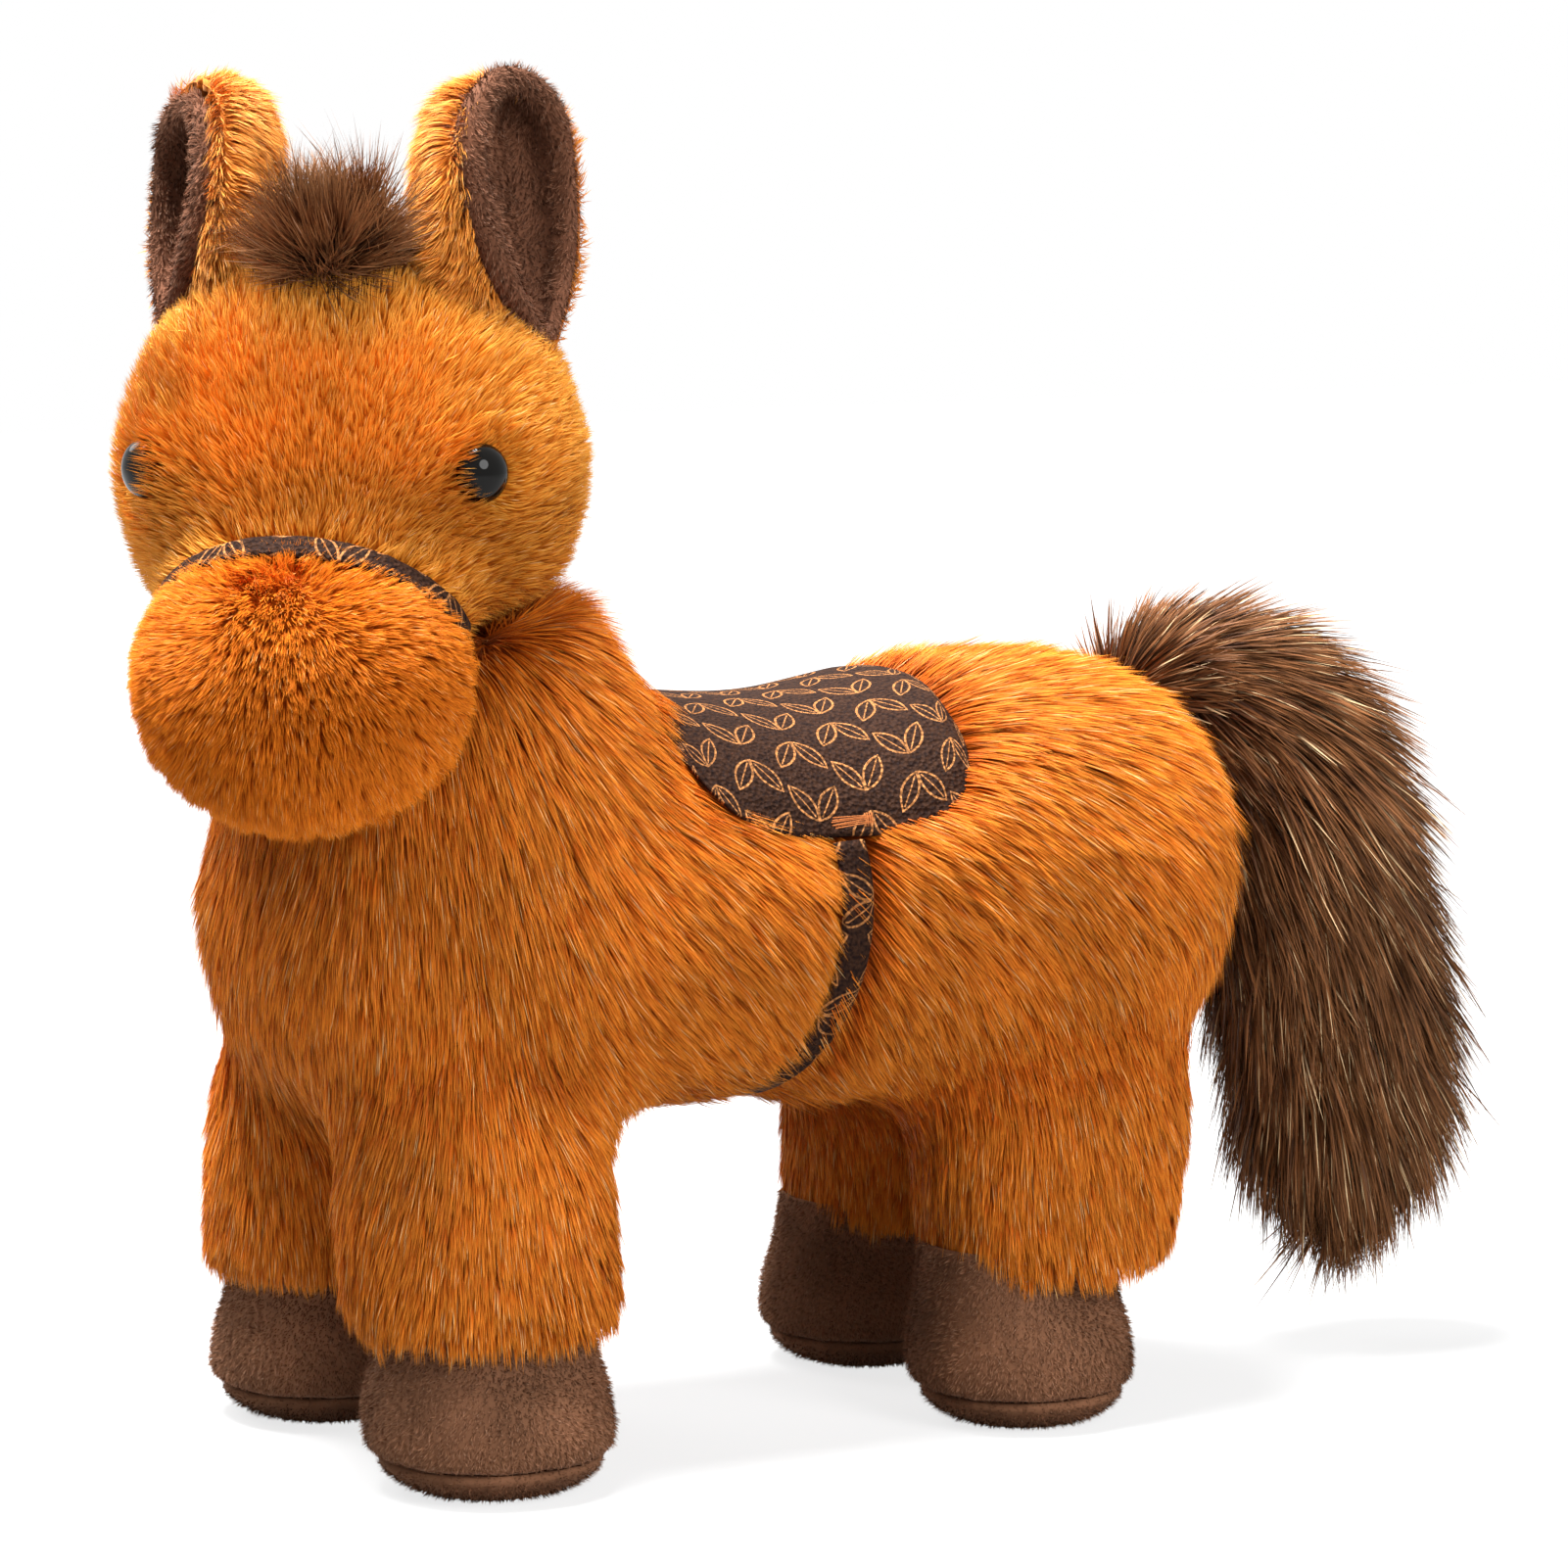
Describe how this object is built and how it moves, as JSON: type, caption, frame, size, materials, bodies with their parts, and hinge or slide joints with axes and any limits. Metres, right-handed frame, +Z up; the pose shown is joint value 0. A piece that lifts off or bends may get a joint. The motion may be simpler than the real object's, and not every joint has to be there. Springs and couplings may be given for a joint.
{
  "type": "plush horse",
  "caption": "Standing soft toy horse with a turned head, upright ears, plush hooves, a hanging tail that lifts at its seam, a saddle pad with a girth strap, and a noseband.",
  "frame": {"origin": "middle of the footprint's bounding box, on the floor that the hooves stand on", "axes": "+Y towards the tail, so the horse's body faces -Y; +X towards the horse's left side; +Z up. The head is turned 51 degrees from -Y towards +X."},
  "size_m": [0.136, 0.3298, 0.2868],
  "materials": {
    "body_fur": "long chestnut plush fur, golden at the tips",
    "muzzle_fur": "shorter rust-orange plush fur",
    "mane_fur": "long dark brown plush fur with a slight gloss",
    "hoof_plush": "short dense brown plush",
    "suede": "dark brown printed suede cloth with thin tan outlines",
    "eye_button": "polished black",
    "washer_plastic": "plain moulded",
    "fibre_fill": "loose polyester fibre"
  },
  "bodies": {
    "horse": {"torso_skin": "body_fur", "neck_skin": "body_fur", "head_skin": "body_fur", "muzzle_skin": "muzzle_fur", "leg_skin_front_left": "body_fur", "leg_skin_front_right": "body_fur", "leg_skin_hind_left": "body_fur", "leg_skin_hind_right": "body_fur", "hoof_upper_front_left": "hoof_plush", "hoof_upper_front_right": "hoof_plush", "hoof_upper_hind_left": "hoof_plush", "hoof_upper_hind_right": "hoof_plush", "hoof_sole_front_left": "hoof_plush", "hoof_sole_front_right": "hoof_plush", "hoof_sole_hind_left": "hoof_plush", "hoof_sole_hind_right": "hoof_plush", "ear_back_left": "body_fur", "ear_back_right": "body_fur", "ear_lining_left": "hoof_plush", "ear_lining_right": "hoof_plush", "eye_left": "eye_button", "eye_right": "eye_button", "eye_washer_left": "washer_plastic", "eye_washer_right": "washer_plastic", "forelock": "mane_fur", "saddle_pad": "suede", "girth_strap": "suede", "noseband": "suede", "body_stuffing": "fibre_fill", "head_stuffing": "fibre_fill"},
    "tail": {"tail_skin": "mane_fur", "tail_stuffing": "fibre_fill"}
  },
  "joints": [
    {"name": "tail_lift", "type": "hinge", "parent": "horse", "child": "tail", "pos_m": [0, 0.0732, 0.161], "axis": [1, 0, 0], "range_deg": [0, 70]}
  ]
}
